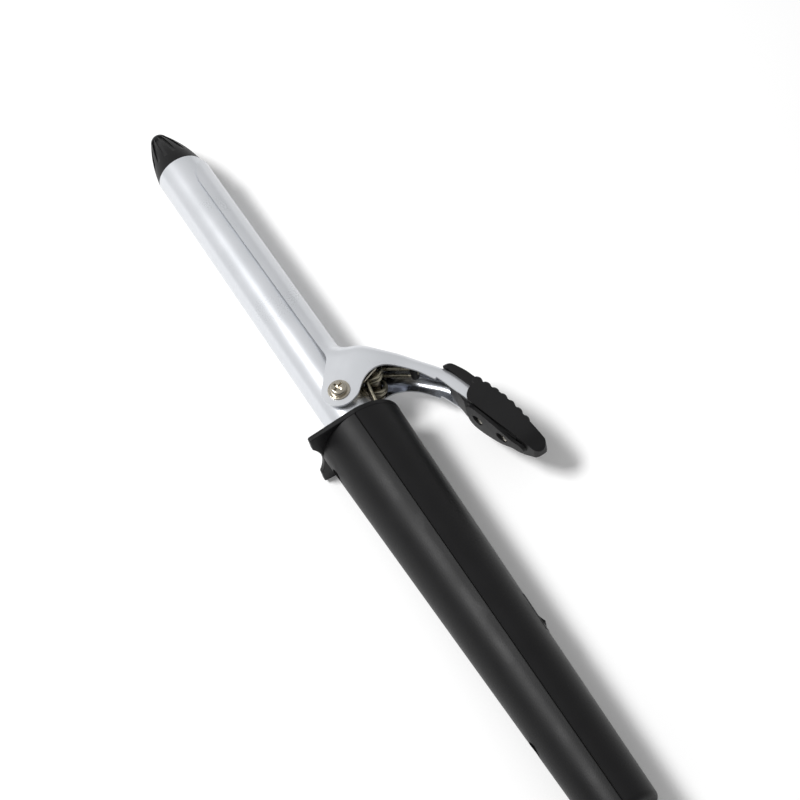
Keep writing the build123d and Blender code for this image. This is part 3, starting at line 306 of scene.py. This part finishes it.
def springTube(look):
    points, bridgeStart, bridgeEnd, way = springRoute(look)
    radius = look["wire"] / 2 * mm
    sides = look["sides"]
    vertices, faces = [], []
    across = Vector((0, 0, 1))
    for i, point in enumerate(points):
        ahead = (points[min(i + 1, len(points) - 1)] - points[max(i - 1, 0)]).normalized()
        across = (across - ahead * across.dot(ahead)).normalized()
        other = ahead.cross(across)
        for k in range(sides):
            angle = 2 * math.pi * k / sides
            vertices.append(point + (across * math.cos(angle) + other * math.sin(angle)) * radius)
    for i in range(len(points) - 1):
        for k in range(sides):
            here, following = i * sides + k, i * sides + (k + 1) % sides
            faces.append((here, following, following + sides, here + sides))
    faces.append(tuple(reversed(range(sides))))
    faces.append(tuple(range(len(vertices) - sides, len(vertices))))
    spring = addPiece("spring_wire", vertices, faces, look["crease"])
    spring.data.materials.append(finishes["zinc_wire"])
    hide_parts("torsion_spring")
    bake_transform(spring)
    print("spring wire made,", len(points), "rings")


springTube(springLook)

# White sweep under the iron: white to the eye and in reflections, and it keeps the soft shadow
sweepLook = {
    "colour": "#f4f4f4", "fibre": 2.0, "tooth": 0.1, "toothStrength": 0.05, "centre": (0.16, -0.01), "half": 3.0,
    "glow": 0.06, "farGlow": 0.8, "shadowReach": 0.3, "farReach": 0.9,
}
lowest = min(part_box(name)[0].z for name in nodes)
middle = Vector((*sweepLook["centre"], lowest))
sweep = addPiece(
    "white_sweep",
    [middle + Vector((x, y, 0)) * sweepLook["half"] for x, y in ((-1, -1), (1, -1), (1, 1), (-1, 1))],
    [(0, 1, 2, 3)], clampLook["crease"],
)


def sweepPaper(look):
    paper = newMaterial("matt white paper")
    tree = paper.node_tree
    place = addNode(tree, "ShaderNodeTexCoord")
    fibre = addNode(
        tree, "ShaderNodeTexNoise", {"Scale": 1 / (look["fibre"] * mm)}, {"Vector": place.outputs["Object"]},
    )
    tooth = addNode(
        tree, "ShaderNodeBump", {"Strength": look["toothStrength"], "Distance": look["tooth"] * mm},
        {"Height": fibre.outputs["Fac"]},
    )
    matt = addNode(
        tree, "ShaderNodeBsdfDiffuse", {"Color": hexColor(look["colour"])}, {"Normal": tooth.outputs["Normal"]},
    )
    ray = addNode(tree, "ShaderNodeLightPath")
    seen = addNode(
        tree, "ShaderNodeMath", {"operation": "MAXIMUM"},
        {0: ray.outputs["Is Camera Ray"], 1: ray.outputs["Is Glossy Ray"]},
    )
    # the glow stays low around the iron, where the shadow falls, and rises to white farther out
    away = addNode(
        tree, "ShaderNodeVectorMath", {"operation": "DISTANCE", 1: tuple(middle)}, {0: place.outputs["Object"]},
    )
    reach = addNode(
        tree, "ShaderNodeMapRange",
        {
            "From Min": look["shadowReach"], "From Max": look["farReach"],
            "To Min": look["glow"], "To Max": look["farGlow"],
        },
        {"Value": away.outputs["Value"]},
    )
    strength = addNode(
        tree, "ShaderNodeMath", {"operation": "MULTIPLY"}, {0: seen.outputs["Value"], 1: reach.outputs["Result"]},
    )
    glow = addNode(tree, "ShaderNodeEmission", {}, {"Strength": strength.outputs["Value"]})
    both = addNode(tree, "ShaderNodeAddShader", {}, {0: matt.outputs["BSDF"], 1: glow.outputs["Emission"]})
    addNode(tree, "ShaderNodeOutputMaterial", {}, {"Surface": both.outputs["Shader"]})
    return paper


sweep.data.materials.append(sweepPaper(sweepLook))

# Camera: place and turn fitted to the outline of the barrel, handle and flange
cameraLook = {
    "place": (-0.171103, 0.079548, 0.587970),
    "right": (-0.50577, -0.84901, -0.15289),
    "up": (0.70496, -0.50892, 0.49399),
    "forward": (0.49721, -0.14207, -0.85592),
    "lens": 87.413, "sensor": 36.0, "nearest": 0.05, "farthest": 20.0,
}
cameraData = bpy.data.cameras.new("camera")
cameraData.lens = cameraLook["lens"]
cameraData.sensor_width = cameraLook["sensor"]
cameraData.clip_start = cameraLook["nearest"]
cameraData.clip_end = cameraLook["farthest"]
camera = bpy.data.objects.new("camera", cameraData)
right, up, back = Vector(cameraLook["right"]), Vector(cameraLook["up"]), -Vector(cameraLook["forward"])
turned = Matrix((right, up, back)).transposed().to_4x4()
camera.matrix_world = Matrix.Translation(cameraLook["place"]) @ turned
bpy.context.scene.collection.objects.link(camera)
bpy.context.scene.camera = camera

# Lights: one softbox high on the left of the picture, and the white studio as fill
level = Vector((right.x, right.y, 0)).normalized()
lampLook = {"left": 0.58, "high": 1.02, "size": (0.42, 0.26), "watts": 12.4}
lamp = bpy.data.lights.new("left softbox", "AREA")
lamp.shape = "RECTANGLE"
lamp.size, lamp.size_y = lampLook["size"]
lamp.energy = lampLook["watts"]
softbox = bpy.data.objects.new("left softbox", lamp)
softbox.location = middle - level * lampLook["left"] + Vector((0, 0, lampLook["high"]))
softbox.rotation_euler = (middle - softbox.location).to_track_quat("-Z", "Y").to_euler()
bpy.context.scene.collection.objects.link(softbox)

worldLook = {"colour": "#ffffff", "fill": 0.42, "mirrored": 0.68, "shown": 1.0}
world = bpy.data.worlds.new("white studio")
world.use_nodes = True
worldTree = world.node_tree
worldRay = addNode(worldTree, "ShaderNodeLightPath")
worldMirror = addNode(
    worldTree, "ShaderNodeMath",
    {"operation": "MULTIPLY_ADD", 1: worldLook["mirrored"] - worldLook["fill"], 2: worldLook["fill"]},
    {0: worldRay.outputs["Is Glossy Ray"]},
)
worldLevel = addNode(
    worldTree, "ShaderNodeMath", {"operation": "MULTIPLY_ADD", 1: worldLook["shown"] - worldLook["fill"]},
    {0: worldRay.outputs["Is Camera Ray"], 2: worldMirror.outputs["Value"]},
)
worldSky = worldTree.nodes["Background"]
worldSky.inputs["Color"].default_value = hexColor(worldLook["colour"])
worldTree.links.new(worldLevel.outputs["Value"], worldSky.inputs["Strength"])
bpy.context.scene.world = world
bpy.context.scene.view_settings.view_transform = "Standard"
print("sweep, camera and lights set")
